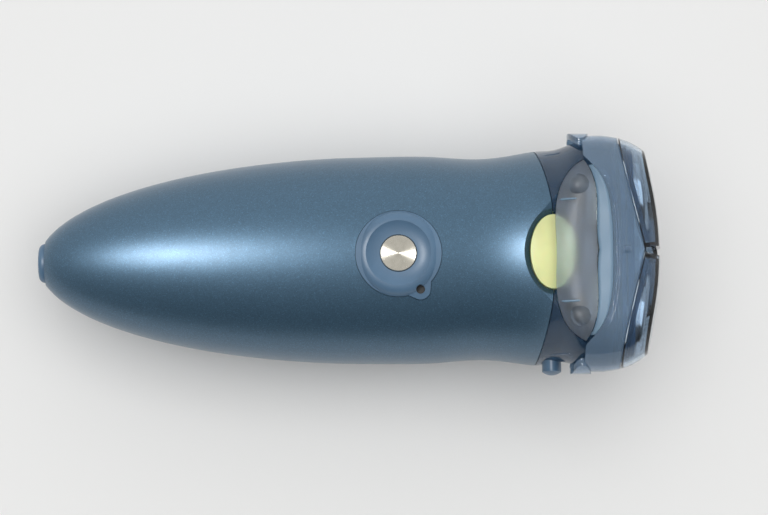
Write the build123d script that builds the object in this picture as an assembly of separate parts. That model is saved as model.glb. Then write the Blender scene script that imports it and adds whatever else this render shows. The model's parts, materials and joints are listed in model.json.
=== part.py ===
from build123d import *
import math
import os

# Rotary wet-use shaver with a lotion pump, lying on its back.
# Millimetres.  X runs from the tail to the heads, Y across, Z up out of the front face.
# The origin is under the middle of the shaver, on the surface that it lies on.

# ---- driving dimensions -------------------------------------------------------------------
LENGTH = 158.0
X_TAIL = -LENGTH / 2

# handle outline
X_TAIL_CUT = -77.2           # flat end of the housing, where the socket stands out
X_BELLY = 9.0                # widest station of the handle
BELLY_HALF_WIDTH = 26.55
BELLY_HALF_DEPTH = 24.2
AXIS_Z = 23.8                # height of the handle's centre line at the belly
TAIL_SEMI_LENGTH = 88.4      # the tail half of the handle is half an ellipsoid
TAIL_STATIONS = 12
WALL = 1.8
SPLIT_Z = 22.0               # front and rear housings meet here
SPLIT_GAP = 0.2
SEAM_RADIUS = 90.0           # the housing ends in an arc, furthest forward at the middle
X_SEAM = 51.8
SEAM_GAP = 0.2

# head layout: three lobes at the corners of a triangle, one of them at the back
LOBE_CIRCLE = 17.0
LOBE_RADIUS = 14.9
LOBE_ANGLES = (30, 150, 270)
HEAD_Z = LOBE_CIRCLE + LOBE_RADIUS
NECK_LOBE_RADIUS = 13.45
NECK_WALL = 1.3
X_NECK_END = 65.5
X_HANDLE_TOP = 66.6

# flare of the neck: x, half width, top, bottom, share of the three-lobed outline
FLARE = (
    (23.0, 26.4, 47.9, -0.35, 0.0),
    (33.5, 25.75, 47.6, 0.3, 0.0),
    (43.7, 26.8, 48.9, 0.6, 0.0),
    (50.5, 28.1, 50.9, 0.8, 0.16),
    (54.5, 28.6, 52.3, 0.9, 0.55),
    (58.0, 28.6, 53.5, 1.3, 0.94),
)
LOBED_STATIONS = (60.0, 62.0, 65.0, 68.6)

# shaving unit and cap
SKIRT_WALL = 1.0
RIM_INSET = 1.6
X_SKIRT = 58.8
X_LIPS = 58.3                # middle of the finger lips on both sides of the skirt
CAP_WALL = 1.1
CAP_PROFILE = ((64.0, 14.9), (67.0, 14.5), (70.0, 13.7), (72.5, 12.5), (74.8, 10.8), (77.0, 8.4),
               (79.4, 4.9))
CAP_SEAM_APEX = 76.5
CAP_SEAM_SLOPE = 0.28
CAP_SEAM_GAP = 0.25
CAP_DOME_RADIUS = 91.0
X_CAP_DOME = 79.02
CAP_SLOT_FLOOR = 0.9         # width of the wedge-shaped slot between two lobes, at its floor
CAP_SLOT_MOUTH = 3.3
X_CAP_SLOT = 73.6

# power button
POWER_X = 13.0
BEZEL_RADIUS = 10.7
BEZEL_CREST = 8.1
DISC_RADIUS = 4.5
BUTTON_GAP = 0.15
LED_X = POWER_X + 5.4
LED_Y = -9.0
LED_LOBE_RADIUS = 2.5
LED_HOLE_RADIUS = 1.1

# lotion button and pump
LOTION_X = 51.4
LOTION_HALF_LENGTH = 5.7
LOTION_HALF_WIDTH = 9.2
NUB_X = 58.0
NUB_Y = 16.0
SCOOP_BOTTOM = 47.7
SCOOP_RIM = 48.9
SCOOP_TOP = 57.0
PUMP_RADIUS = 3.2
PLUNGER_RADIUS = 1.5
PUMP_BASE = 41.4
PUMP_TOP = 44.9

# release button on the side of the neck
RELEASE_X = 51.6
RELEASE_Z = 31.0
RELEASE_HALF_LENGTH = 2.4
RELEASE_HALF_HEIGHT = 4.5
RELEASE_DEPTH = 7.4

# charging inlet
PIN_RADIUS = 0.8
PIN_SPACING = 4.8
INLET_DEPTH = 6.0

# drive
GEAR_MODULE = 0.5
PINION_TEETH = 24
GEAR_TEETH = 44
GEAR_THICKNESS = 3.5
X_GEARS = 61.0
X_GEAR_PLATE = 59.4
PLATE_THICKNESS = 1.4
SHAFT_RADIUS = 1.2
RUNNING_CLEARANCE = 0.05

# shaving heads
HEAD_TILT = math.degrees(math.atan(0.14))
X_HEAD_PIVOT = 69.0
GUARD_RADIUS = 10.0
GUARD_HEIGHT = 3.0
GUARD_BASE = 2.6
GUARD_TRACK_INNER = 5.4
GUARD_WALL = 0.4
RING_RADIUS = 10.7
CUTTER_RADIUS = 9.0
CUTTER_BLADES = 15
X_SPINDLE_SHOULDER = 67.4
X_SPINDLE_TIP = 71.3
X_RETAINING = 67.8
X_HOLDER = 69.4

# inside the handle
BATTERY_RADIUS = 7.1
BATTERY_LENGTH = 50.0
BATTERY_X = -27.0
BATTERY_Z = 25.5
BOARD_Z = 36.4
BOARD_THICKNESS = 1.2
SWITCH_TOP = 41.0
MOTOR_RADIUS = 11.0
MOTOR_HALF_DEPTH = 9.2
X_MOTOR = (24.0, 56.0)
CARTRIDGE_X = (-45.0, -10.0)
CARTRIDGE_HALF_WIDTH = 11.0
CARTRIDGE_TOP = 15.5
VALVE_X = -14.0

CARTRIDGE_COVER_SIZE = (36.0, 26.0)
SCREWS = ((-60.0, 0.0), (8.0, 20.5), (8.0, -20.5), (44.0, 20.0), (44.0, -18.5))
NOZZLE_Z = 43.0

BIG = 200.0
OUTLINE_POINTS = 32
OUTLINE_START = -35.0        # puts the closing edge of each outline low on the +Y side


# ---- helpers ------------------------------------------------------------------------------
def save(name, *solids):
    shape = solids[0] if len(solids) == 1 else Compound(children=list(solids))
    export_step(shape, f"parts/{name}.step")


def at_x(x, y=0.0, z=HEAD_Z):
    """Plane across the shaver: local x is +Y, local y is +Z, and its normal is +X."""
    return Plane(origin=(x, y, z), x_dir=(0, 1, 0), z_dir=(1, 0, 0))


def rod_x(radius, x0, x1, y=0.0, z=HEAD_Z):
    return extrude(at_x(x0, y, z) * Circle(radius), x1 - x0)


def rod_z(radius, z0, z1, x, y=0.0):
    return Pos(x, y, (z0 + z1) / 2) * Cylinder(radius, z1 - z0)


def slab(x0, x1, y0, y1, z0, z1):
    centre = ((x0 + x1) / 2, (y0 + y1) / 2, (z0 + z1) / 2)
    return Pos(*centre) * Box(x1 - x0, y1 - y0, z1 - z0)


def lobe_centres():
    return [
        (LOBE_CIRCLE * math.cos(math.radians(a)), LOBE_CIRCLE * math.sin(math.radians(a)))
        for a in LOBE_ANGLES
    ]


def lobed_reach(direction, radius, drop):
    """Distance from a point `drop` below the triangle's centre to the hull of three circles."""
    reach = BIG
    for step in range(0, 360, 2):
        normal = math.radians(step)
        facing = math.cos(normal - direction)
        if facing > 0.05:
            across, up = math.cos(normal), math.sin(normal)
            support = radius + max(cy * across + (cz + drop) * up for cy, cz in lobe_centres())
            reach = min(reach, support / facing)
    return reach


def oval_reach(direction, half_width, half_depth):
    across, up = math.cos(direction), math.sin(direction)
    return 1 / math.hypot(across / half_width, up / half_depth)


def outline(x, half_width, top, bottom, lobed, inset):
    """Closed outline across the handle: an oval that turns into the three-lobed hull."""
    middle = (top + bottom) / 2
    half_depth = (top - bottom) / 2
    points = []
    for i in range(OUTLINE_POINTS):
        direction = math.radians(OUTLINE_START) + 2 * math.pi * i / OUTLINE_POINTS
        oval = oval_reach(direction, half_width, half_depth) - inset
        hull = lobed_reach(direction, NECK_LOBE_RADIUS - inset, HEAD_Z - middle) if lobed else 0
        reach = (1 - lobed) * oval + lobed * hull
        points.append(Vector(reach * math.cos(direction), reach * math.sin(direction)))
    even = [i / OUTLINE_POINTS for i in range(OUTLINE_POINTS + 1)]
    return at_x(x, 0, middle) * make_face(Edge.make_spline(points, periodic=True, parameters=even))


def handle_stations():
    first = math.acos((X_BELLY - X_TAIL_CUT) / TAIL_SEMI_LENGTH)
    stations = []
    for i in range(TAIL_STATIONS):
        angle = first + (math.pi / 2 - first) * (i / (TAIL_STATIONS - 1)) ** 1.15
        size = math.sin(angle)
        x = X_BELLY - TAIL_SEMI_LENGTH * math.cos(angle)
        depth = BELLY_HALF_DEPTH * size
        stations.append((x, BELLY_HALF_WIDTH * size, AXIS_Z + depth, AXIS_Z - depth, 0.0))
    stations += FLARE
    top = HEAD_Z + LOBE_CIRCLE / 2 + NECK_LOBE_RADIUS
    bottom = HEAD_Z - LOBE_CIRCLE - NECK_LOBE_RADIUS
    for x in LOBED_STATIONS:
        stations.append((x, NECK_LOBE_RADIUS, top, bottom, 1.0))
    return stations


def handle_form(inset=0.0):
    """The whole outer form of handle and neck, drawn in by inset."""
    return loft([outline(*station, inset) for station in handle_stations()])


def lobed_face(x, radius):
    """Hull of the three lobes, as straight sides and true arcs."""
    discs = Sketch() + [Pos(cy, cz) * Circle(radius) for cy, cz in lobe_centres()]
    return at_x(x) * make_hull(discs.edges())


def lobed_plate(radius, x0, x1):
    return extrude(lobed_face(x0, radius), x1 - x0)


def head_form(inset=0.0):
    """Outer form of the shaving unit and cap: straight skirt, then drawn in to the end."""
    x0, radius = CAP_PROFILE[0]
    skirt = lobed_plate(radius - inset, X_SKIRT, x0)
    return skirt + loft([lobed_face(x, r - inset) for x, r in CAP_PROFILE])


def below_pyramid(apex, slope):
    """Everything on the tail side of three planes that fall away towards the lobes."""
    solid = slab(-BIG, BIG, -BIG, BIG, -BIG, BIG)
    for angle in LOBE_ANGLES:
        across = math.cos(math.radians(angle))
        up = math.sin(math.radians(angle))
        face = Plane(origin=(apex, 0, HEAD_Z), z_dir=(1, slope * across, slope * up))
        solid = solid - extrude(face * Rectangle(4 * BIG, 4 * BIG), 2 * BIG)
    return solid


def cap_slots(wall=0.0):
    """Three wedge-shaped grooves from the centre outwards, each between two lobes."""
    x_floor = X_CAP_SLOT - wall
    x_mouth = X_CAP_DOME + 1
    floor = CAP_SLOT_FLOOR / 2 + wall
    mouth = CAP_SLOT_MOUTH / 2 + wall
    wedge = make_face(Polyline((x_floor, floor), (x_mouth, mouth), (x_mouth, -mouth), (x_floor, -floor),
                               close=True))
    slots = Part()
    for angle in LOBE_ANGLES:
        slots += Pos(0, 0, HEAD_Z) * Rot(angle + 90, 0, 0) * extrude(wedge, BIG)
    return slots


def cap_dome(wall=0.0):
    """Large ball whose end is the face of the cap."""
    return Pos(X_CAP_DOME - CAP_DOME_RADIUS, 0, HEAD_Z) * Sphere(CAP_DOME_RADIUS - wall)


def spur_gear(teeth, thickness, bore, phase=0.0):
    """Spur gear about local Z with straight-sided teeth and a round bore."""
    pitch = GEAR_MODULE * teeth / 2
    tip = pitch + 0.9 * GEAR_MODULE
    root = pitch - 1.15 * GEAR_MODULE
    step = 2 * math.pi / teeth
    points = []
    for i in range(teeth):
        middle = phase + i * step
        for radius, share in ((root, -0.33), (tip, -0.11), (tip, 0.11), (root, 0.33)):
            angle = middle + share * step
            points.append((radius * math.cos(angle), radius * math.sin(angle)))
    blank = extrude(make_face(Polyline(*points, close=True)), thickness)
    return blank - Pos(0, 0, thickness / 2) * Cylinder(bore, thickness * 2)


def coil(radius, wire, height, turns):
    """Compression spring along local Z, standing on local z = 0."""
    path = Helix(pitch=(height - wire) / turns, height=height - wire, radius=radius)
    section = Plane(origin=path @ 0, z_dir=path % 0) * RegularPolygon(wire / 2, 6)
    return Pos(0, 0, wire / 2) * sweep(section, path)


def head_frame(angle):
    """Frame of one shaving head: local +Z is the head's axis, tilted outwards."""
    across, up = math.cos(math.radians(angle)), math.sin(math.radians(angle))
    tilt = math.radians(HEAD_TILT)
    axis = (math.cos(tilt), math.sin(tilt) * across, math.sin(tilt) * up)
    origin = (X_HEAD_PIVOT, LOBE_CIRCLE * across, HEAD_Z + LOBE_CIRCLE * up)
    return Plane(origin=origin, x_dir=(0, -up, across), z_dir=axis)


def lobe_rods(radius, x0, x1):
    return [rod_x(radius, x0, x1, cy, HEAD_Z + cz) for cy, cz in lobe_centres()]


def lobe_tubes(outer, inner, x0, x1):
    rods = lobe_rods(outer, x0, x1)
    holes = lobe_rods(inner, x0 - 1, x1 + 1)
    return [rod - hole for rod, hole in zip(rods, holes)]


def oval_z(half_length, half_width, z0, z1, x=LOTION_X):
    return extrude(Pos(x, 0, z0) * Ellipse(half_length, half_width), z1 - z0)


# ---- housings -----------------------------------------------------------------------------
def seam_drum(extra=0.0):
    """Everything on the tail side of the curved seam between housing and neck."""
    radius = SEAM_RADIUS + extra
    return Pos(X_SEAM - SEAM_RADIUS, 0, 0) * Cylinder(radius, 2 * BIG)


def teardrop(radius, lobe_radius):
    """Round plan with a small lobe around the indicator."""
    lobe = Pos(LED_X, LED_Y) * Circle(lobe_radius)
    blend = Pos(POWER_X + 2.6, -4.4) * Circle(0.52 * radius)
    neck = make_hull(lobe.edges() + blend.edges())
    return Pos(POWER_X, 0) * Circle(radius) + neck


def funnel(bottom, half_length, half_width, widening):
    """Oval funnel round the lotion button; widening is its growth for each millimetre up."""
    rise = SCOOP_TOP - bottom
    wide = Ellipse(half_length + widening * rise, half_width + widening * rise)
    low = Pos(LOTION_X, 0, bottom) * Ellipse(half_length, half_width)
    return loft([low, Pos(LOTION_X, 0, SCOOP_TOP) * wide])


def scoop(grow=0.0):
    return funnel(SCOOP_BOTTOM - grow, 5.9 + grow, 9.4 + grow, 1.0)


def button_well(form):
    """Funnel wall that the lotion button sits in, and the hole through it."""
    wall = (scoop(1.1) & form) - scoop()
    return wall - oval_z(5.9, 9.4, 40, 60)


def button_cut():
    """Funnel, the bevel round its rim, and the hole for the lotion button."""
    return scoop() + funnel(SCOOP_RIM, 6.9, 10.4, 3.0) + oval_z(5.9, 9.4, 44, 50)


def release_cut(grow):
    oval = Ellipse(RELEASE_HALF_LENGTH + grow, RELEASE_HALF_HEIGHT + grow)
    face = Plane(origin=(RELEASE_X, -32, RELEASE_Z), x_dir=(1, 0, 0), z_dir=(0, -1, 0))
    return extrude(face * oval, -12)


def cover_plan(grow):
    length, width = CARTRIDGE_COVER_SIZE
    middle = sum(CARTRIDGE_X) / 2
    plan = RectangleRounded(length + 2 * grow, width + 2 * grow, 4.0)
    return extrude(Pos(middle, 0, -5) * plan, CARTRIDGE_TOP + 2)


def tail_plug(x0, x1, grow=0.0):
    return extrude(at_x(x0, 0, AXIS_Z) * Ellipse(5.05 + grow, 4.6 + grow), x1 - x0)


def make_housings(outer, middle, inner):
    """Front and rear shells. The bosses and the funnel end half way through the wall."""
    whole = outer & seam_drum()
    front = (whole & slab(-BIG, BIG, -BIG, BIG, SPLIT_Z + SPLIT_GAP, BIG)) - inner
    front += button_well(middle) & seam_drum()
    rear = (whole & slab(-BIG, BIG, -BIG, BIG, 0, SPLIT_Z)) - inner
    for x, y in SCREWS:
        front += rod_z(2.4, SPLIT_Z, 60, x, y) & middle
        rear += rod_z(2.8, 0.5, SPLIT_Z, x, y) & middle
    for opening in (tail_plug(X_TAIL, X_TAIL_CUT + 6), release_cut(0.15), button_cut()):
        front -= opening
    front -= extrude(teardrop(BEZEL_RADIUS + 0.12, LED_LOBE_RADIUS + 0.12), 60)
    rear -= tail_plug(X_TAIL, X_TAIL_CUT + 6)
    rear -= cover_plan(0)
    for x, y in SCREWS:
        front -= rod_z(0.8, SPLIT_Z - 1, SPLIT_Z + 8, x, y)
        rear -= rod_z(1.1, 0, SPLIT_Z + 1, x, y)
        rear -= rod_z(2.2, -1, SPLIT_Z - 4, x, y)
    save("front_housing", front)
    save("rear_housing", rear)

    screws = []
    for x, y in SCREWS:
        shank = rod_z(0.8, SPLIT_Z - 4, SPLIT_Z + 7.5, x, y)
        head = rod_z(1.9, SPLIT_Z - 5.4, SPLIT_Z - 4, x, y)
        cross = slab(x - 1.2, x + 1.2, y - 0.2, y + 0.2, 0, SPLIT_Z - 4.9)
        cross += slab(x - 0.2, x + 0.2, y - 1.2, y + 1.2, 0, SPLIT_Z - 4.9)
        screws.append(shank + head - cross)
    save("housing_screws", *screws)

    cover = (outer & cover_plan(-0.15)) - inner
    save("cartridge_cover", cover)


def make_tail():
    plug = tail_plug(X_TAIL, X_TAIL_CUT + 7, -0.05)
    plug = fillet(plug.edges().sort_by(Axis.X)[0], 1.5)
    mouth = at_x(X_TAIL - 1, 0, AXIS_Z) * RectangleRounded(8.2, 5.4, 2.6)
    plug -= extrude(mouth, INLET_DEPTH + 1)
    x_floor = X_TAIL + INLET_DEPTH
    pins = []
    for y in (-PIN_SPACING / 2, PIN_SPACING / 2):
        root = rod_x(PIN_RADIUS + 0.2, x_floor, X_TAIL + 11.5, y, AXIS_Z)
        plug -= root
        pins.append(root + rod_x(PIN_RADIUS, X_TAIL + 0.8, x_floor, y, AXIS_Z))
    save("tail_socket", plug)
    save("inlet_pins", *pins)


# ---- power button -------------------------------------------------------------------------
def make_power_button(outer_proud):
    crest = AXIS_Z + BELLY_HALF_DEPTH + 0.7
    rim = extrude(teardrop(BEZEL_RADIUS, LED_LOBE_RADIUS), 60) & outer_proud
    rim -= slab(-BIG, BIG, -BIG, BIG, -BIG, crest - 3.3)
    low = crest - 3.3
    edge = BEZEL_RADIUS - 0.1
    profile = Plane.XZ * make_face(
        Line((0, low), (edge, low))
        + Line((edge, low), (edge, crest - 2.4))
        + ThreePointArc((edge, crest - 2.4), (9.65, crest - 0.7), (BEZEL_CREST, crest))
        + Line((BEZEL_CREST, crest), (0, crest))
        + Line((0, crest), (0, low))
    )
    dish = Plane.XZ * make_face(
        Line((0, crest + 2), (BEZEL_CREST, crest + 2))
        + Line((BEZEL_CREST, crest + 2), (BEZEL_CREST, crest))
        + ThreePointArc((BEZEL_CREST, crest), (6.8, crest - 0.75), (4.65, crest - 1.2))
        + Line((4.65, crest - 1.2), (0, crest - 1.2))
        + Line((0, crest - 1.2), (0, crest + 2))
    )
    bezel = rim + Pos(POWER_X, 0, 0) * revolve(profile, Axis.Z)
    bezel -= Pos(POWER_X, 0, 0) * revolve(dish, Axis.Z)
    bezel -= rod_z(DISC_RADIUS + BUTTON_GAP, 0, 60, POWER_X)
    bezel -= rod_z(LED_HOLE_RADIUS, 0, 60, LED_X, LED_Y)
    save("power_bezel", bezel)

    face = crest - 1.1
    disc = rod_z(DISC_RADIUS, face - 0.6, face, POWER_X)
    disc = chamfer(disc.edges().sort_by(Axis.Z)[-1], 0.15)
    save("power_button_disc", disc)
    plunger = rod_z(DISC_RADIUS - 0.1, face - 2.1, face - 0.6, POWER_X)
    plunger += rod_z(5.4, low - 0.7, low - 0.1, POWER_X)
    plunger += rod_z(DISC_RADIUS - 0.1, low - 0.1, face - 2.1, POWER_X)
    plunger += rod_z(1.2, SWITCH_TOP + 1.4, low - 0.7, POWER_X)
    save("power_button", plunger)
    spring = coil(2.4, 0.4, low - 0.7 - SWITCH_TOP, 4)
    save("power_button_spring", Pos(POWER_X, 0, SWITCH_TOP) * spring)

    guide = rod_z(LED_HOLE_RADIUS - 0.05, BOARD_Z + BOARD_THICKNESS + 0.8, crest - 2.6, LED_X, LED_Y)
    save("led_light_guide", guide)


# ---- neck, window and lotion pump ---------------------------------------------------------
def window_plan(grow=0.0):
    tip = (58.9, 22.4 + grow)
    tail_side = Spline(tip, (54.2 - grow, 18.0), (52.2 - grow, 12.0), (52.0 - grow, 0))
    head_side = Spline(tip, (60.6 + grow, 19.2), (61.7 + grow, 12.0), (62.1 + grow, 0))
    upper = make_face(tail_side + head_side + Line((52.0 - grow, 0), (62.1 + grow, 0)))
    return upper + mirror(upper, Plane.XZ)


def make_neck(outer, middle):
    forward = slab(X_SEAM - 10, X_NECK_END, -BIG, BIG, 0, BIG) - seam_drum(SEAM_GAP)
    collar = (outer & forward) - handle_form(NECK_WALL)
    collar += button_well(middle) & forward
    collar -= button_cut()
    pocket = extrude(Pos(0, 0, 30) * window_plan(0.2), 70) - handle_form(0.85)
    collar -= pocket
    collar -= release_cut(0.15)
    save("neck_collar", collar)

    skin = handle_form(-0.45) - handle_form(0.65)
    window = extrude(Pos(0, 0, 30) * window_plan(), 40) & skin
    window -= seam_drum(SEAM_GAP)
    for y in (NUB_Y, -NUB_Y):
        window += Pos(NUB_X, y, 51.6) * Sphere(3.3) & slab(50, 66, -30, 30, 53.1, 60)
    save("button_window", window)

    plate = (outer & slab(X_NECK_END, X_HANDLE_TOP, -BIG, BIG, 0, BIG))
    for hole in lobe_rods(SHAFT_RADIUS + RUNNING_CLEARANCE, 60, 70):
        plate -= hole
    for recess in lobe_rods(2.6, X_NECK_END - 1, X_NECK_END + 0.6):
        plate -= recess
    plate -= rod_x(1.1, 60, 70, 0, NOZZLE_Z)
    save("spindle_plate", plate)
    save("spindle_seals", *lobe_tubes(2.6, SHAFT_RADIUS + 0.07, X_NECK_END, X_NECK_END + 0.6))


def make_lotion_button():
    top = 49.9
    low = 45.9
    body = oval_z(LOTION_HALF_LENGTH, LOTION_HALF_WIDTH, low, top)
    dome = Pos(LOTION_X, 0, top - 9.0) * scale(Sphere(1), by=(17.0, 20.0, 9.0))
    body = body & dome
    body -= oval_z(LOTION_HALF_LENGTH - 1.2, LOTION_HALF_WIDTH - 1.2, low - 1, top - 1.9)
    flange = oval_z(6.7, 10.2, low, low + 0.6) - oval_z(4.8, 8.3, low - 1, low + 2)
    save("lotion_button", body + flange)
    save("pump_plunger", rod_z(PLUNGER_RADIUS, PUMP_TOP - 1.2, top - 1.9, LOTION_X))
    spring = coil(2.3, 0.35, top - 1.9 - PUMP_TOP, 3)
    save("lotion_button_spring", Pos(LOTION_X, 0, PUMP_TOP) * spring)

    pump = rod_z(PUMP_RADIUS, PUMP_BASE, PUMP_TOP, LOTION_X)
    bore = PLUNGER_RADIUS + RUNNING_CLEARANCE
    pump -= rod_z(bore, PUMP_BASE + 0.5, PUMP_TOP + 1, LOTION_X)
    save("pump_body", pump)

    nozzle = rod_x(1.1, LOTION_X + PUMP_RADIUS + 0.1, X_HANDLE_TOP, 0, NOZZLE_Z)
    nozzle -= rod_x(0.5, LOTION_X, X_HANDLE_TOP + 1, 0, NOZZLE_Z)
    save("lotion_nozzle", nozzle)

    route = FilletPolyline(
        (VALVE_X + 4, 0, CARTRIDGE_TOP + 1.7),
        (3, 0, CARTRIDGE_TOP + 1.7),
        (16, 14.5, 18),
        (40, 17.0, 24),
        (LOTION_X - 2, 15.5, 40),
        (LOTION_X, PUMP_RADIUS + 0.4, PUMP_BASE + 2.2),
        radius=4.0,
    )
    tube = sweep(Plane(origin=route @ 0, z_dir=route % 0) * Circle(1.0), route)
    save("lotion_tube", tube)


def make_release_button():
    oval = Ellipse(RELEASE_HALF_LENGTH, RELEASE_HALF_HEIGHT)
    face = Plane(origin=(RELEASE_X, -30.1, RELEASE_Z), x_dir=(1, 0, 0), z_dir=(0, -1, 0))
    body = extrude(face * oval, -RELEASE_DEPTH)
    dome = Pos(RELEASE_X, -24.1, RELEASE_Z) * scale(Sphere(1), by=(4.6, 6.0, 8.0))
    body = body & dome
    flange = Ellipse(RELEASE_HALF_LENGTH + 0.6, RELEASE_HALF_HEIGHT + 0.6)
    body += extrude(face * Pos(0, 0, -RELEASE_DEPTH) * flange, -0.8)
    save("release_button", body)


# ---- cartridge ----------------------------------------------------------------------------
def make_cartridge(inside):
    middle = sum(CARTRIDGE_X) / 2
    block = Pos(middle, 0, 0) * RectangleRounded(
        CARTRIDGE_X[1] - CARTRIDGE_X[0] - 2, 2 * CARTRIDGE_HALF_WIDTH, 3.5)
    body = extrude(block, CARTRIDGE_TOP) & inside
    body += rod_z(2.5, CARTRIDGE_TOP, CARTRIDGE_TOP + 2.4, VALVE_X)
    body -= rod_z(0.8, CARTRIDGE_TOP - 2, CARTRIDGE_TOP + 3, VALVE_X)
    save("lotion_cartridge", body)
    valve = rod_z(4.0, CARTRIDGE_TOP + 0.3, CARTRIDGE_TOP + 3.1, VALVE_X)
    valve -= rod_z(2.6, CARTRIDGE_TOP, CARTRIDGE_TOP + 2.6, VALVE_X)
    save("cartridge_valve", valve)


# ---- electrics ----------------------------------------------------------------------------
def make_electrics():
    x0 = BATTERY_X - BATTERY_LENGTH / 2
    x1 = BATTERY_X + BATTERY_LENGTH / 2
    for name, y in (("battery_left", 7.4), ("battery_right", -7.4)):
        cell = rod_x(BATTERY_RADIUS, x0, x1 - 1.2, y, BATTERY_Z)
        cell = fillet(cell.edges().filter_by(GeomType.CIRCLE), 0.6)
        cell += rod_x(2.6, x1 - 1.3, x1, y, BATTERY_Z)
        save(name, cell)
    straps = [slab(x0 - 0.4, x0, -11, 11, BATTERY_Z - 2.5, BATTERY_Z + 2.5)]
    straps += [slab(x1, x1 + 0.4, y - 2.5, y + 2.5, BATTERY_Z - 2.5, BATTERY_Z + 2.5)
               for y in (7.4, -7.4)]
    save("battery_straps", *straps)

    board = slab(-40, 20, -10, 10, BOARD_Z, BOARD_Z + BOARD_THICKNESS)
    save("circuit_board", board)
    top = BOARD_Z + BOARD_THICKNESS
    switch = slab(POWER_X - 3.1, POWER_X + 3.1, -3.1, 3.1, top, SWITCH_TOP)
    switch += rod_z(1.0, SWITCH_TOP, SWITCH_TOP + 0.7, POWER_X)
    save("power_switch", switch)

    tray = slab(-52, 16, -10, 10, BATTERY_Z + BATTERY_RADIUS + 0.2, BATTERY_Z + BATTERY_RADIUS + 1.4)
    for x in (-36, 14):
        for y in (-8, 8):
            tray += rod_z(1.5, BATTERY_Z + BATTERY_RADIUS + 1.4, BOARD_Z, x, y)
    save("inner_frame", tray)


# ---- drive --------------------------------------------------------------------------------
def make_drive():
    x0, x1 = X_MOTOR
    can = rod_x(MOTOR_RADIUS, x0, x1)
    can = can & slab(x0, x1, -20, 20, HEAD_Z - MOTOR_HALF_DEPTH, HEAD_Z + MOTOR_HALF_DEPTH)
    can += rod_x(3.0, x1, x1 + 1.5) + rod_x(2.6, x0 - 1.5, x0)
    can -= rod_x(1.0 + RUNNING_CLEARANCE, x0, x1 + 5)
    save("motor", can)

    shaft = rod_x(1.0, x0 + 4, X_GEARS + GEAR_THICKNESS)
    save("motor_shaft", shaft)
    mesh = math.pi / PINION_TEETH
    pinion = spur_gear(PINION_TEETH, GEAR_THICKNESS, 1.0, mesh + math.radians(30))
    save("motor_pinion", at_x(X_GEARS) * pinion)

    plate = lobed_plate(12.0, X_GEAR_PLATE, X_GEAR_PLATE + PLATE_THICKNESS)
    plate -= rod_x(3.1, 50, 70)
    plate -= rod_x(1.2, 50, 70, 0, NOZZLE_Z)
    plate -= scoop(1.4)
    bush_radius = 2.4
    for hole in lobe_rods(bush_radius, 50, 70):
        plate -= hole
    save("gear_plate", plate)
    bush_end = X_GEAR_PLATE + PLATE_THICKNESS
    bushes = lobe_tubes(bush_radius, SHAFT_RADIUS + RUNNING_CLEARANCE, X_GEAR_PLATE, bush_end)
    save("spindle_bushes", *bushes)
    bracket = slab(46.5, 48.5, -14, 12.5, HEAD_Z - 12, HEAD_Z + MOTOR_HALF_DEPTH)
    bracket -= rod_x(MOTOR_RADIUS, 40, 60) & slab(
        40, 60, -20, 20, HEAD_Z - MOTOR_HALF_DEPTH, HEAD_Z + MOTOR_HALF_DEPTH + 1)
    save("motor_bracket", bracket)

    for i, (cy, cz) in enumerate(lobe_centres()):
        towards = math.radians(LOBE_ANGLES[i] + 180)
        gear = spur_gear(GEAR_TEETH, GEAR_THICKNESS, SHAFT_RADIUS, towards)
        save(f"drive_gear_{i + 1}", at_x(X_GEARS, cy, HEAD_Z + cz) * gear)
        spindle = rod_x(SHAFT_RADIUS, X_GEAR_PLATE + 0.2, X_SPINDLE_SHOULDER, cy, HEAD_Z + cz)
        blade = at_x(X_SPINDLE_SHOULDER, cy, HEAD_Z + cz) * Rectangle(2.8, 1.1)
        save(f"drive_spindle_{i + 1}", spindle + extrude(blade, X_SPINDLE_TIP - X_SPINDLE_SHOULDER))


# ---- shaving heads ------------------------------------------------------------------------
def tube_z(outer, inner, z0, z1):
    wall = extrude(Pos(0, 0, z0) * Circle(outer), z1 - z0)
    return wall - extrude(Pos(0, 0, z0 - 1) * Circle(inner), z1 - z0 + 2)


def make_guard():
    """Slotted guard: a thin cup with a raised track and a dished middle."""
    top = GUARD_BASE + GUARD_HEIGHT
    outline_points = (
        (GUARD_RADIUS, GUARD_BASE), (GUARD_RADIUS, top - 0.9), (GUARD_RADIUS - 0.9, top),
        (GUARD_TRACK_INNER + 0.3, top), (GUARD_TRACK_INNER - 0.2, top - 0.5), (0, top - 0.5))
    inner_points = (
        (GUARD_RADIUS - GUARD_WALL, GUARD_BASE - 1), (GUARD_RADIUS - GUARD_WALL, top - 1.1),
        (GUARD_RADIUS - 1.1, top - GUARD_WALL), (GUARD_TRACK_INNER + 0.2, top - GUARD_WALL),
        (GUARD_TRACK_INNER - 0.4, top - 0.9), (0, top - 0.9), (0, GUARD_BASE - 1))
    solid = make_face(Plane.XZ * Polyline(*outline_points, (0, GUARD_BASE), close=True))
    hollow = make_face(Plane.XZ * Polyline(*inner_points, close=True))
    return revolve(solid, Axis.Z) - revolve(hollow, Axis.Z)


def make_cutter():
    """Carrier plate with a ring of upright blades and a drive socket."""
    blade_top = GUARD_BASE + GUARD_HEIGHT - GUARD_WALL - 0.15
    carrier_top = blade_top - 1.5
    cutter = extrude(Pos(0, 0, carrier_top - 0.6) * Circle(CUTTER_RADIUS - 0.6), 0.6)
    cutter += extrude(Pos(0, 0, 1.2) * Circle(3.0), carrier_top - 1.2 + 0.4)
    for i in range(CUTTER_BLADES):
        blade = slab(GUARD_TRACK_INNER + 0.6, CUTTER_RADIUS - 0.8, -0.5, 0.0, carrier_top - 0.1,
                     blade_top)
        cutter += Rot(0, 0, i * 360 / CUTTER_BLADES) * blade
    cutter -= extrude(Pos(0, 0, 0) * Rectangle(4.2, 2.3), 1.2 + 2.8)
    return cutter


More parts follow.
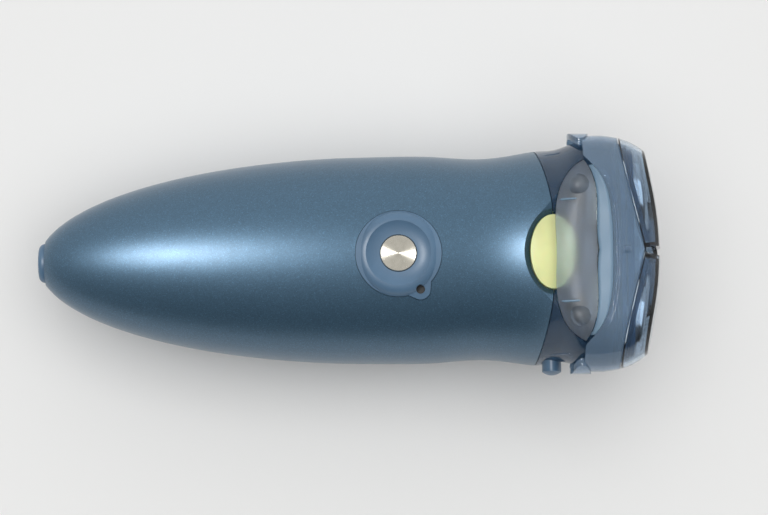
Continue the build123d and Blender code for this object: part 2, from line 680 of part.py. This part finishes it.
def make_heads():
    for i, angle in enumerate(LOBE_ANGLES):
        frame = head_frame(angle)
        save(f"head_cap_{i + 1}", frame * make_guard())
        ring = tube_z(RING_RADIUS, GUARD_RADIUS, GUARD_BASE, GUARD_BASE + 1.3)
        save(f"head_ring_{i + 1}", frame * ring)
        save(f"cutter_{i + 1}", frame * (Rot(0, 0, 90 - angle) * make_cutter()))


# ---- shaving unit and cap -----------------------------------------------------------------
def arch_plan():
    """Plan of the opening in the front of the skirt."""
    half = Spline((55.4, 27.0), (59.6, 22.6), (63.1, 18.0), (65.2, 11.0), (65.7, 0))
    edges = half + Line((65.7, 0), (50, 0)) + Line((50, 0), (50, 27)) + Line((50, 27), (55.4, 27))
    upper = make_face(edges)
    return upper + mirror(upper, Plane.XZ)


def make_shaving_unit():
    ground = slab(-BIG, BIG, -BIG, BIG, 0, BIG)
    outer = head_form() & ground
    below = below_pyramid(CAP_SEAM_APEX, CAP_SEAM_SLOPE)
    shell = (outer - head_form(SKIRT_WALL)) & below
    shell -= extrude(Pos(0, 0, HEAD_Z + 4) * arch_plan(), 40)

    band = lobed_plate(LOBE_RADIUS + 0.55, X_LIPS - 4, X_LIPS + 4)
    band -= lobed_plate(LOBE_RADIUS - SKIRT_WALL + 0.05, X_LIPS - 5, X_LIPS + 5)
    side = Plane(origin=(X_LIPS, -BIG, HEAD_Z + 7.0), x_dir=(1, 0, 0), z_dir=(0, 1, 0))
    shell += band & extrude(side * Ellipse(2.6, 9.0), 2 * BIG)

    low_rim = head_form(SKIRT_WALL - 0.1) - head_form(RIM_INSET)
    low_rim = (low_rim & below) - below_pyramid(CAP_SEAM_APEX - 0.6, CAP_SEAM_SLOPE)
    high_rim = head_form(CAP_WALL + 0.2) - head_form(RIM_INSET + 0.2)
    high_rim = high_rim & below_pyramid(CAP_SEAM_APEX + 1.4, CAP_SEAM_SLOPE)
    high_rim -= below_pyramid(CAP_SEAM_APEX - 0.6, CAP_SEAM_SLOPE)
    high_rim -= cap_slots(CAP_WALL + 0.4)
    shell += low_rim
    shell += high_rim
    save("hair_chamber", shell & ground)

    frame = lobed_plate(12.1, X_RETAINING, X_RETAINING + 1.0)
    for hole in lobe_rods(3.8, 60, 80):
        frame -= hole
    holder = lobed_plate(11.3, X_HOLDER, X_HOLDER + 1.6)
    for angle in LOBE_ANGLES:
        bore = extrude(Circle(RING_RADIUS + 0.2), 12)
        holder -= head_frame(angle) * Pos(0, 0, -3) * bore
    outlet = rod_x(1.8, 60, 80, 0, NOZZLE_Z)
    save("retaining_frame", frame - outlet)
    save("head_holder", holder - outlet)


def make_cap():
    ground = slab(-BIG, BIG, -BIG, BIG, 0, BIG)
    outer = (head_form() & cap_dome()) - cap_slots()
    inner = (head_form(CAP_WALL) & cap_dome(CAP_WALL)) - cap_slots(CAP_WALL)
    cap = outer - inner
    cap -= below_pyramid(CAP_SEAM_APEX + CAP_SEAM_GAP, CAP_SEAM_SLOPE)
    save("protective_cap", cap & ground)


os.makedirs("parts", exist_ok=True)
handle_outer = handle_form()
handle_inner = handle_form(WALL)
handle_middle = handle_form(0.4)
make_housings(handle_outer, handle_middle, handle_inner)
make_tail()
make_power_button(handle_form(-0.3))
make_neck(handle_outer, handle_middle)
make_lotion_button()
make_release_button()
make_cartridge(handle_form(WALL + 0.08))
make_electrics()
make_drive()
make_heads()
make_shaving_unit()
make_cap()
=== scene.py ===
import json
import math

import bmesh
import bpy
from mathutils import Matrix, Vector


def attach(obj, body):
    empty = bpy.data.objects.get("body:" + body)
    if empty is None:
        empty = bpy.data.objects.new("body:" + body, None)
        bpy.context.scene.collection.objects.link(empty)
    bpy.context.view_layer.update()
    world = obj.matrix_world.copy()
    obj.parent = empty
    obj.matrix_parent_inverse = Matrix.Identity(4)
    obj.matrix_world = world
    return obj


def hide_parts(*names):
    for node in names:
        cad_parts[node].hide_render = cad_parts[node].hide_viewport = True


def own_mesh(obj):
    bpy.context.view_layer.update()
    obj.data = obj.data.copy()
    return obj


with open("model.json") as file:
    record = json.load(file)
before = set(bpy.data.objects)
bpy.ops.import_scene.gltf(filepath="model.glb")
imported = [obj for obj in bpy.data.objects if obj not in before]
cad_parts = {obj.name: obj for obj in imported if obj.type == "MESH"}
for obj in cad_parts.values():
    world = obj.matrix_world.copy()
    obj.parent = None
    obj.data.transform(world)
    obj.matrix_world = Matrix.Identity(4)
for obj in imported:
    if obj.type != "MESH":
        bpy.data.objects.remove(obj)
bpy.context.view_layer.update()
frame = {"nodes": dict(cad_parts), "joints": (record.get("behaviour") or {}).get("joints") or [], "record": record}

# The looks of a cordless rotary shaver that lies on its back: finishes for every CAD node,
# fine pieces that stand on them, and a plain studio.  Metres; +X to the heads, +Z out of the front.

MM = 0.001

# ---- camera -------------------------------------------------------------------------------
CAMERA_DISTANCE = 0.70
CAMERA_AIM = Vector((0.0094, 0.0003, 0.030))
CAMERA_TURN = (4.5, 0.0, -0.5)       # degrees about X, Y and Z, from looking straight down
CAMERA_LENS = 129.0
CAMERA_SENSOR = 36.0

# ---- studio -------------------------------------------------------------------------------
WINDOW_PLACE = (-0.56, 0.14, 1.05)   # bright patch that only the gloss sees
WINDOW_SIZE = 0.32
WINDOW_POWER = 10.0
CEILING_PLACE = (0.15, -0.05, 1.30)    # wide soft light that only matt surfaces see
CEILING_SIZE = 1.6
CEILING_POWER = 12.5
SKY_FAR, SKY_NEAR = 0.94, 0.02       # brightness of the surroundings towards +Y and -Y
FLOOR_HALF = 2.5
FLOOR_DARK = (0.84, 0.84, 0.835)
FLOOR_LIGHT = (0.86, 0.86, 0.85)

# ---- handle paint -------------------------------------------------------------------------
PAINT_ROUGHNESS = (0.37, 0.43)
PAINT_METALLIC = 0.60
PAINT_COAT = 0.55
PAINT_COAT_ROUGHNESS = 0.34
FLAKE_SPREAD = 0.16                  # how far most flakes differ from the paint's colour
GLINT_SPREAD = 0.35                  # and how much brighter the few brightest are

# ---- shaving guards, millimetres ----------------------------------------------------------
GUARD_SLOTS = 90
GUARD_PROFILE = (                    # radius and height above the head's pivot
    (9.98, 2.6), (9.98, 4.55), (9.75, 5.15), (9.2, 5.48), (8.6, 5.58), (5.8, 5.58),
    (5.4, 5.45), (5.1, 5.12), (4.2, 5.1), (3.9, 5.32), (1.5, 5.36), (0.4, 5.36),
)
GUARD_SLOT_RINGS = range(2, 5)       # profile steps that the slots cut through
GUARD_BAR_SHARE = 0.56               # share of each pitch that is metal, not slot
GUARD_THICKNESS = 0.3

# nodes and pieces whose finish differs a little from the rest of their slot
OWN_FINISH = {
    "tail_socket": "bezel_blue",
    "led_light_guide": "switch_black",
    "neck_collar": "collar_blue",
    "hair_chamber": "chamber_blue",
    "head_holder": "carrier_blue",
    "retaining_frame": "carrier_blue",
    "chamber_apron": "apron_blue",
    "window_ribs": "apron_blue",
}

# return springs: CAD node, joint that presses it, turns, wire radius in millimetres
SPRINGS = (
    ("power_button_spring", "power_button_press", 4, 0.2),
    ("lotion_button_spring", "lotion_button_press", 3, 0.175),
)
SPRING_STEPS = 16                    # per turn
WIRE_SIDES = 8

# ---- small raised details, millimetres ----------------------------------------------------
BEAD_ARC_STEPS = 6
BEAD_END_TAPER = 0.45                # share of its size that a bead keeps at its ends
BEAD_SUNK = 0.1

# straight ribs: two X ends and a Y for each, and their width and height
WINDOW_RIBS = ((52.9, 56.9, 12.6), (53.1, 57.4, -12.6))
WINDOW_RIB_SIZE = (0.5, 0.2)
COLLAR_RIBS = ((50.0, 53.6, 25.2), (50.8, 55.4, -25.2))
COLLAR_RIB_SIZE = (0.45, 0.2)
SNAP_TAB = ((68.2, 70.2, 0.0),)
SNAP_TAB_SIZE = (1.8, 0.45)
RIB_STEPS = 8

COVER_RIB_X = (-41.5, -39.5, -37.5, -35.5, -33.5)
COVER_RIB_HALF = 6.0
COVER_RIB_SIZE = (0.9, 0.35)

CHAMBER_LINES = (0.9, 1.5)           # distance in front of the edge of the chamber's opening
CHAMBER_LINE_HALF = 19.7
CHAMBER_LINE_SIZE = (0.3, 0.12)
CHAMBER_LINE_STEPS = 32

# apron between the button window and the chamber
APRON_HALF = 21.0
APRON_WALL = 0.6
APRON_WINDOW_GAP = 0.25
APRON_WINDOW_DROP = 0.3              # how far it starts below the window's upper skin
APRON_CHAMBER_GAP = 0.05
APRON_STEPS_ACROSS = 28
APRON_STEPS_ALONG = 4

# places along X from which the edges of the opening are looked for
WINDOW_X = 58.9                      # on the window, behind the opening
CHAMBER_X = 68.0                     # on the chamber, in front of it
NECK_X = 57.0                        # behind the whole opening
SKIN_HEIGHT = 45.0                   # the upper skin is above this
EDGE_HALVINGS = 12
EDGE_INSET = 0.05                    # how far inside an edge the skin's height is read
PROBE_HEIGHT = 100.0                 # clear of the whole shaver


# ---- finishes -----------------------------------------------------------------------------
class Finish:
    """A procedural material: a principled shader and the patterns that feed it."""

    def __init__(self, name, colour, roughness, metallic=0.0):
        self.material = bpy.data.materials.new(name)
        self.material.use_nodes = True
        self.nodes = self.material.node_tree.nodes
        self.links = self.material.node_tree.links
        self.shader = self.nodes["Principled BSDF"]
        self.place = self.nodes.new("ShaderNodeTexCoord").outputs["Object"]
        self.normal = None
        self.set("Base Color", (*colour, 1))
        self.set("Roughness", roughness)
        self.set("Metallic", metallic)

    def set(self, socket, value):
        self.shader.inputs[socket].default_value = value

    def noise(self, size, detail=2.0):
        """Soft cloudy pattern, whose clouds are about size metres across."""
        node = self.nodes.new("ShaderNodeTexNoise")
        node.inputs["Scale"].default_value = 1 / size
        node.inputs["Detail"].default_value = detail
        self.links.new(self.place, node.inputs["Vector"])
        return node.outputs["Fac"]

    def cells(self, size):
        """Grains with one random colour each, about size metres across."""
        node = self.nodes.new("ShaderNodeTexVoronoi")
        node.inputs["Scale"].default_value = 1 / size
        self.links.new(self.place, node.inputs["Vector"])
        return node.outputs["Color"]

    def ramp(self, source, stops):
        """Colours picked by a pattern; each stop is a level of the pattern and a colour."""
        node = self.nodes.new("ShaderNodeValToRGB")
        ramp = node.color_ramp
        while len(ramp.elements) < len(stops):
            ramp.elements.new(1.0)
        for element, (position, colour) in zip(ramp.elements, stops):
            element.position = position
            element.color = (*colour, 1)
        self.links.new(source, node.inputs["Fac"])
        return node.outputs["Color"]

    def spread(self, source, low, high):
        """A pattern stretched to run from low to high."""
        node = self.nodes.new("ShaderNodeMapRange")
        node.inputs["To Min"].default_value = low
        node.inputs["To Max"].default_value = high
        self.links.new(source, node.inputs["Value"])
        return node.outputs["Result"]

    def feed(self, socket, source):
        self.links.new(source, self.shader.inputs[socket])

    def bump(self, source, height):
        """Relief of the given height in metres, on top of any relief already there."""
        node = self.nodes.new("ShaderNodeBump")
        node.inputs["Distance"].default_value = height
        node.inputs["Strength"].default_value = 1.0
        self.links.new(source, node.inputs["Height"])
        if self.normal:
            self.links.new(self.normal, node.inputs["Normal"])
        self.normal = node.outputs["Normal"]
        self.feed("Normal", self.normal)


def shades(colour, spread):
    """A darker and a lighter version of a colour."""
    dark = tuple(c * (1 - spread) for c in colour)
    light = tuple(min(1.0, c * (1 + spread)) for c in colour)
    return dark, light


def moulded(name, colour, roughness=0.45, grain=0.25 * MM, relief=0.012 * MM, metallic=0.0):
    """Moulded plastic or plain metal: faint clouding, fine grain and uneven gloss."""
    finish = Finish(name, colour, roughness, metallic)
    dark, light = shades(colour, 0.10)
    finish.feed("Base Color", finish.ramp(finish.noise(9 * MM), ((0.3, dark), (0.7, light))))
    finish.feed("Roughness", finish.spread(finish.noise(4 * MM), roughness - 0.06, roughness + 0.06))
    finish.bump(finish.noise(grain, 1.0), relief)
    return finish


def flake_paint(name, colour, flake):
    """Satin metallic lacquer with fine flakes."""
    finish = Finish(name, colour, sum(PAINT_ROUGHNESS) / 2, PAINT_METALLIC)
    dark, light = shades(colour, FLAKE_SPREAD)
    grey = finish.nodes.new("ShaderNodeSeparateColor")
    finish.links.new(finish.cells(flake), grey.inputs["Color"])
    glint = shades(light, GLINT_SPREAD)[1]
    stops = ((0.0, dark), (0.5, colour), (0.93, light), (1.0, glint))
    finish.feed("Base Color", finish.ramp(grey.outputs["Red"], stops))
    finish.feed("Roughness", finish.spread(finish.noise(6 * MM), *PAINT_ROUGHNESS))
    finish.bump(finish.noise(0.6 * MM, 2.0), 0.005 * MM)
    finish.bump(grey.outputs["Green"], 0.003 * MM)
    finish.set("Coat Weight", PAINT_COAT)
    finish.set("Coat Roughness", PAINT_COAT_ROUGHNESS)
    return finish


def clear_plastic(name, tint, roughness=0.04, clear=1.0):
    """Tinted see-through plastic with slightly uneven walls; below 1, clear leaves it milky."""
    finish = Finish(name, tint, roughness)
    dark, light = shades(tint, 0.05)
    finish.feed("Base Color", finish.ramp(finish.noise(14 * MM), ((0.3, dark), (0.7, light))))
    finish.feed("Roughness", finish.spread(finish.noise(5 * MM), roughness * 0.8, roughness * 1.3))
    finish.bump(finish.noise(7 * MM, 1.0), 0.015 * MM)
    finish.set("Transmission Weight", clear)
    finish.set("IOR", 1.46)
    return finish


def turned_metal(name, colour, roughness, anisotropy, pitch, axis="Z"):
    """Metal with the circular marks of a lathe about one axis of its own box."""
    finish = Finish(name, colour, roughness, 1.0)
    tangent = finish.nodes.new("ShaderNodeTangent")
    tangent.direction_type = "RADIAL"
    tangent.axis = axis
    finish.feed("Tangent", tangent.outputs["Tangent"])
    finish.set("Anisotropic", anisotropy)
    finish.set("Anisotropic Rotation", 0.25)
    dark, light = shades(colour, 0.05)
    finish.feed("Base Color", finish.ramp(finish.noise(pitch * 8), ((0.3, dark), (0.7, light))))
    finish.feed("Roughness", finish.spread(finish.noise(pitch * 3), roughness - 0.04, roughness + 0.05))
    return finish


def make_finishes():
    """One material for each of the record's slots and each finish that OWN_FINISH names."""
    made = {
        "body_blue": flake_paint("body_blue_paint", (0.057, 0.127, 0.200), 0.17 * MM),
        "bezel_blue": moulded("bezel_blue_satin", (0.085, 0.165, 0.265), 0.40),
        "button_steel": turned_metal("button_spun_steel", (0.86, 0.82, 0.71), 0.25, 0.95, 0.2 * MM),
        "lotion_green": moulded("lotion_green_satin", (0.72, 0.74, 0.34), 0.36),
        "clear_blue": clear_plastic("clear_blue_plastic", (0.40, 0.56, 0.74), 0.06, 0.80),
        "chamber_blue": clear_plastic("chamber_blue_plastic", (0.30, 0.44, 0.60), 0.08, 0.70),
        "smoke_cap": clear_plastic("smoke_cap_plastic", (0.54, 0.64, 0.74)),
        "frosted_blue": clear_plastic("frosted_blue_plastic", (0.58, 0.66, 0.74), 0.42, 0.95),
        "dark_plastic": moulded("dark_plastic", (0.030, 0.050, 0.078), 0.5),
        "guard_chrome": moulded("guard_chrome", (0.80, 0.81, 0.83), 0.16, 0.1 * MM, 0.002 * MM, 1.0),
        "ring_steel": turned_metal("ring_steel", (0.62, 0.63, 0.66), 0.28, 0.5, 0.3 * MM, "X"),
        "inner_steel": moulded("inner_steel", (0.60, 0.60, 0.60), 0.30, 0.2 * MM, 0.004 * MM, 1.0),
        "motor_can": moulded("motor_can", (0.55, 0.55, 0.56), 0.35, 0.2 * MM, 0.004 * MM, 1.0),
        "cell_sleeve": moulded("cell_sleeve", (0.05, 0.25, 0.12), 0.30),
        "frame_grey": moulded("frame_grey", (0.22, 0.25, 0.29), 0.5),
        "gear_white": moulded("gear_white", (0.78, 0.78, 0.72), 0.45),
        "board_green": moulded("board_green", (0.02, 0.16, 0.07), 0.35),
        "switch_black": moulded("switch_black", (0.02, 0.02, 0.02), 0.45),
        "bush_brass": moulded("bush_brass", (0.72, 0.53, 0.24), 0.28, 0.2 * MM, 0.004 * MM, 1.0),
        "soft_seal": moulded("soft_seal", (0.03, 0.03, 0.03), 0.7),
        "lotion_white": moulded("lotion_white", (0.72, 0.78, 0.84), 0.4),
        "collar_blue": clear_plastic("collar_blue_plastic", (0.06, 0.14, 0.25), 0.12, 0.72),
        "apron_blue": clear_plastic("apron_blue_plastic", (0.24, 0.38, 0.52), 0.50, 0.30),
        "carrier_blue": moulded("carrier_blue", (0.14, 0.23, 0.35), 0.35),
    }
    made["lotion_green"].set("Subsurface Weight", 0.25)
    made["lotion_green"].set("Subsurface Scale", 0.002)
    return {slot: finish.material for slot, finish in made.items()}


def dress_nodes(finishes):
    """Each CAD node takes its own finish or that of its record slot, and is shaded smooth."""
    for row in frame["record"]["subparts"]:
        node = frame["nodes"][row["node"]]
        finish = OWN_FINISH.get(row["node"], row["material_slot"])
        node.data.materials.clear()
        node.data.materials.append(finishes[finish])
        node.data.shade_smooth()


# ---- pieces -------------------------------------------------------------------------------
def new_piece(name, mesh, slot, body, finishes):
    """Turns a bmesh into a smooth piece with its finish, which rides a body."""
    data = bpy.data.meshes.new(name)
    bmesh.ops.recalc_face_normals(mesh, faces=mesh.faces)
    mesh.to_mesh(data)
    mesh.free()
    piece = bpy.data.objects.new(name, data)
    bpy.context.scene.collection.objects.link(piece)
    data.materials.append(finishes[OWN_FINISH.get(name, slot)])
    data.shade_smooth()
    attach(piece, body)
    return piece


def on_surface(node, x, y, above=True):
    """Point and outward normal of a CAD node's skin over or under a place given in millimetres."""
    side = 1 if above else -1
    start = Vector((x, y, side * PROBE_HEIGHT)) * MM
    hit, point, normal, _ = frame["nodes"][node].ray_cast(start, Vector((0, 0, -side)))
    if not hit:
        raise ValueError(f"{node} has no skin at {x}, {y}")
    return point, normal


def steps_across(half, count):
    """Evenly spaced places from -half to half."""
    return [half * (2 * i / count - 1) for i in range(count + 1)]


def add_skin(mesh, rings):
    """Closed skin through equal rings of vertices, with both ends capped."""
    sides = len(rings[0])
    for ring, ahead in zip(rings, rings[1:]):
        for k in range(sides):
            after = (k + 1) % sides
            mesh.faces.new((ring[k], ring[after], ahead[after], ahead[k]))
    mesh.faces.new(rings[0])
    mesh.faces.new(list(reversed(rings[-1])))


def add_bead(mesh, path, width, height):
    """Low rounded rib along a path of points and normals, sunk a little into the skin below it."""
    rings = []
    for i, (point, normal) in enumerate(path):
        before = path[max(i - 1, 0)][0]
        after = path[min(i + 1, len(path) - 1)][0]
        side = (after - before).normalized().cross(normal).normalized()
        taper = BEAD_END_TAPER if i in (0, len(path) - 1) else 1.0
        ring = []
        for k in range(BEAD_ARC_STEPS + 1):
            angle = math.pi * k / BEAD_ARC_STEPS
            out = side * (width / 2 * MM * taper * math.cos(angle))
            up = normal * (height * MM * taper * math.sin(angle))
            ring.append(mesh.verts.new(point + out + up))
        for edge in (-width / 2, width / 2):
            out = side * (edge * MM * taper)
            ring.append(mesh.verts.new(point + out - normal * BEAD_SUNK * MM))
        rings.append(ring)
    add_skin(mesh, rings)


def ribs_along_x(name, node, spans, size, slot, body, finishes):
    """Straight ribs on the top of a node; each span is two X ends and a Y, in millimetres."""
    mesh = bmesh.new()
    for x0, x1, y in spans:
        steps = [x0 + (x1 - x0) * i / RIB_STEPS for i in range(RIB_STEPS + 1)]
        add_bead(mesh, [on_surface(node, x, y) for x in steps], *size)
    new_piece(name, mesh, slot, body, finishes)


def skin_edge(node, y, inside, outside):
    """Place along X, in millimetres, where a node's upper skin ends on the way out at one Y."""
    for _ in range(EDGE_HALVINGS):
        middle = (inside + outside) / 2
        start = Vector((middle, y, PROBE_HEIGHT)) * MM
        hit, point, _, _ = frame["nodes"][node].ray_cast(start, Vector((0, 0, -1)))
        if hit and point.z > SKIN_HEIGHT * MM:
            inside = middle
        else:
            outside = middle
    return inside


def make_chamber_lines(finishes):
    """Fine raised lines on the chamber, which follow the edge of its front opening."""
    mesh = bmesh.new()
    for offset in CHAMBER_LINES:
        path = []
        for y in steps_across(CHAMBER_LINE_HALF, CHAMBER_LINE_STEPS):
            x = skin_edge("hair_chamber", y, CHAMBER_X, NECK_X) + offset
            path.append(on_surface("hair_chamber", x, y))
        add_bead(mesh, path, *CHAMBER_LINE_SIZE)
    new_piece("chamber_lines", mesh, "clear_blue", "shaving_unit", finishes)


def make_chamber_apron(finishes):
    """Thin curved apron that closes the gap between the button window and the chamber."""
    mesh = bmesh.new()
    from_window = Vector((EDGE_INSET + APRON_WINDOW_GAP, 0, -APRON_WINDOW_DROP)) * MM
    from_chamber = Vector((-EDGE_INSET - APRON_CHAMBER_GAP, 0, -APRON_CHAMBER_GAP)) * MM
    down = Vector((0, 0, -APRON_WALL)) * MM
    rings = []
    for y in steps_across(APRON_HALF, APRON_STEPS_ACROSS):
        window_x = skin_edge("button_window", y, WINDOW_X, CHAMBER_X)
        chamber_x = skin_edge("hair_chamber", y, CHAMBER_X, NECK_X)
        near = on_surface("button_window", window_x - EDGE_INSET, y)[0] + from_window
        far = on_surface("hair_chamber", chamber_x + EDGE_INSET, y)[0] + from_chamber
        upper = [near.lerp(far, k / APRON_STEPS_ALONG) for k in range(APRON_STEPS_ALONG + 1)]
        lower = [point + down for point in reversed(upper)]
        rings.append([mesh.verts.new(point) for point in upper + lower])
    add_skin(mesh, rings)
    new_piece("chamber_apron", mesh, "clear_blue", "shaving_unit", finishes)


def make_cover_ribs(finishes):
    """Finger ribs on the lotion cartridge's cover, on the back of the handle."""
    mesh = bmesh.new()
    for x in COVER_RIB_X:
        steps = steps_across(COVER_RIB_HALF, RIB_STEPS)
        path = [on_surface("cartridge_cover", x, y, above=False) for y in steps]
        add_bead(mesh, path, *COVER_RIB_SIZE)
    new_piece("cover_finger_ribs", mesh, "body_blue", "cartridge", finishes)


def make_spring(node_name, joint_name, turns, wire, finishes):
    """Coil spring in place of the rigid CAD one."""
    node = frame["nodes"][node_name]
    corners = [node.matrix_world @ Vector(corner) for corner in node.bound_box]
    xs, ys, zs = zip(*corners)
    low, high = min(zs), max(zs)
    foot = Vector(((min(xs) + max(xs)) / 2, (min(ys) + max(ys)) / 2, low))
    radius = (max(xs) - min(xs)) / 2 - wire * MM
    rise = high - low - 2 * wire * MM
    mesh = bmesh.new()
    rings = []
    for i in range(turns * SPRING_STEPS + 1):
        share = i / (turns * SPRING_STEPS)
        angle = 2 * math.pi * turns * share
        out = Vector((math.cos(angle), math.sin(angle), 0))
        centre = foot + out * radius + Vector((0, 0, wire * MM + rise * share))
        ring = []
        for k in range(WIRE_SIDES):
            turn = 2 * math.pi * k / WIRE_SIDES
            offset = out * math.cos(turn) + Vector((0, 0, math.sin(turn)))
            ring.append(mesh.verts.new(centre + offset * (wire * MM)))
        rings.append(ring)
    add_skin(mesh, rings)
    spring = new_piece(f"{node_name}_coil", mesh, "inner_steel", "handle", finishes)
    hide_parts(node_name)
    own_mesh(spring)


def make_guard(number, finishes):
    """Shaving guard with radial slots, in place of the plain CAD cup."""
    joint = next(j for j in frame["joints"] if j["child"] == f"cutting_{number}")
    turn = Vector(joint["axis"]).to_track_quat("Z", "Y").to_matrix().to_4x4()
    place = Matrix.Translation(Vector(joint["pos_m"])) @ turn
    mesh = bmesh.new()
    columns = []
    for i in range(2 * GUARD_SLOTS):
        pitches = i // 2 + (GUARD_BAR_SHARE if i % 2 else 0.0)
        angle = 2 * math.pi * pitches / GUARD_SLOTS
        column = []
        for radius, height in GUARD_PROFILE:
            spot = Vector((radius * math.cos(angle), radius * math.sin(angle), height)) * MM
            column.append(mesh.verts.new(place @ spot))
        columns.append(column)
    for i, column in enumerate(columns):
        beside = columns[(i + 1) % len(columns)]
        for k in range(len(GUARD_PROFILE) - 1):
            is_slot = i % 2 == 1 and k in GUARD_SLOT_RINGS
            if not is_slot:
                mesh.faces.new((column[k], beside[k], beside[k + 1], column[k + 1]))
    mesh.faces.new([column[-1] for column in columns])
    guard = new_piece(f"slotted_guard_{number}", mesh, "guard_chrome", f"head_{number}", finishes)
    shell = guard.modifiers.new("wall", "SOLIDIFY")
    shell.thickness = GUARD_THICKNESS * MM
    shell.offset = -1.0
    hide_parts(f"head_cap_{number}")


# ---- studio -------------------------------------------------------------------------------
def make_camera():
    data = bpy.data.cameras.new("camera")
    data.lens = CAMERA_LENS
    data.sensor_width = CAMERA_SENSOR
    camera = bpy.data.objects.new("camera", data)
    bpy.context.scene.collection.objects.link(camera)
    camera.rotation_euler = [math.radians(a) for a in CAMERA_TURN]
    back = camera.rotation_euler.to_matrix() @ Vector((0, 0, CAMERA_DISTANCE))
    camera.location = CAMERA_AIM + back
    bpy.context.scene.camera = camera


def soft_light(name, place, size, power):
    """Square light that faces the shaver."""
    data = bpy.data.lights.new(name, "AREA")
    data.size = size
    data.energy = power
    light = bpy.data.objects.new(name, data)
    light.location = place
    light.rotation_euler = (Vector(place) * -1).to_track_quat("-Z", "Y").to_euler()
    bpy.context.scene.collection.objects.link(light)
    return light


def make_floor():
    """Plain pale floor at the height of the shaver's back."""
    floor_mesh = bmesh.new()
    bmesh.ops.create_grid(floor_mesh, x_segments=8, y_segments=8, size=FLOOR_HALF)
    data = bpy.data.meshes.new("floor")
    floor_mesh.to_mesh(data)
    floor_mesh.free()
    floor = bpy.data.objects.new("floor", data)
    bpy.context.scene.collection.objects.link(floor)
    finish = Finish("pale_floor", FLOOR_DARK, 0.7)
    clouds = finish.noise(0.4)
    finish.feed("Base Color", finish.ramp(clouds, ((0.3, FLOOR_DARK), (0.7, FLOOR_LIGHT))))
    finish.bump(finish.noise(0.7 * MM), 0.01 * MM)
    data.materials.append(finish.material)


def make_lights():
    """Surroundings that are bright on the far side, a gloss light and a matt light."""
    world = bpy.data.worlds.new("studio")
    world.use_nodes = True
    nodes, links = world.node_tree.nodes, world.node_tree.links
    direction = nodes.new("ShaderNodeTexCoord").outputs["Generated"]
    split = nodes.new("ShaderNodeSeparateXYZ")
    links.new(direction, split.inputs["Vector"])
    side = nodes.new("ShaderNodeMapRange")
    side.inputs["From Min"].default_value = -1.0
    side.inputs["To Min"].default_value = SKY_NEAR
    side.inputs["To Max"].default_value = SKY_FAR
    links.new(split.outputs["Y"], side.inputs["Value"])
    links.new(side.outputs["Result"], nodes["Background"].inputs["Strength"])
    nodes["Background"].inputs["Color"].default_value = (1.0, 1.0, 1.0, 1)
    bpy.context.scene.world = world
    soft_light("window", WINDOW_PLACE, WINDOW_SIZE, WINDOW_POWER).visible_diffuse = False
    soft_light("ceiling", CEILING_PLACE, CEILING_SIZE, CEILING_POWER).visible_glossy = False


finishes = make_finishes()
dress_nodes(finishes)
for head in (1, 2, 3):
    make_guard(head, finishes)
ribs_along_x(
    "window_ribs", "button_window", WINDOW_RIBS, WINDOW_RIB_SIZE, "frosted_blue", "handle", finishes
)
ribs_along_x(
    "collar_ribs", "neck_collar", COLLAR_RIBS, COLLAR_RIB_SIZE, "clear_blue", "handle", finishes
)
ribs_along_x(
    "snap_tab", "hair_chamber", SNAP_TAB, SNAP_TAB_SIZE, "clear_blue", "shaving_unit", finishes
)
make_chamber_lines(finishes)
make_chamber_apron(finishes)
make_cover_ribs(finishes)
for spring in SPRINGS:
    make_spring(*spring, finishes)
make_camera()
make_floor()
make_lights()
bpy.context.scene.view_settings.view_transform = "Standard"
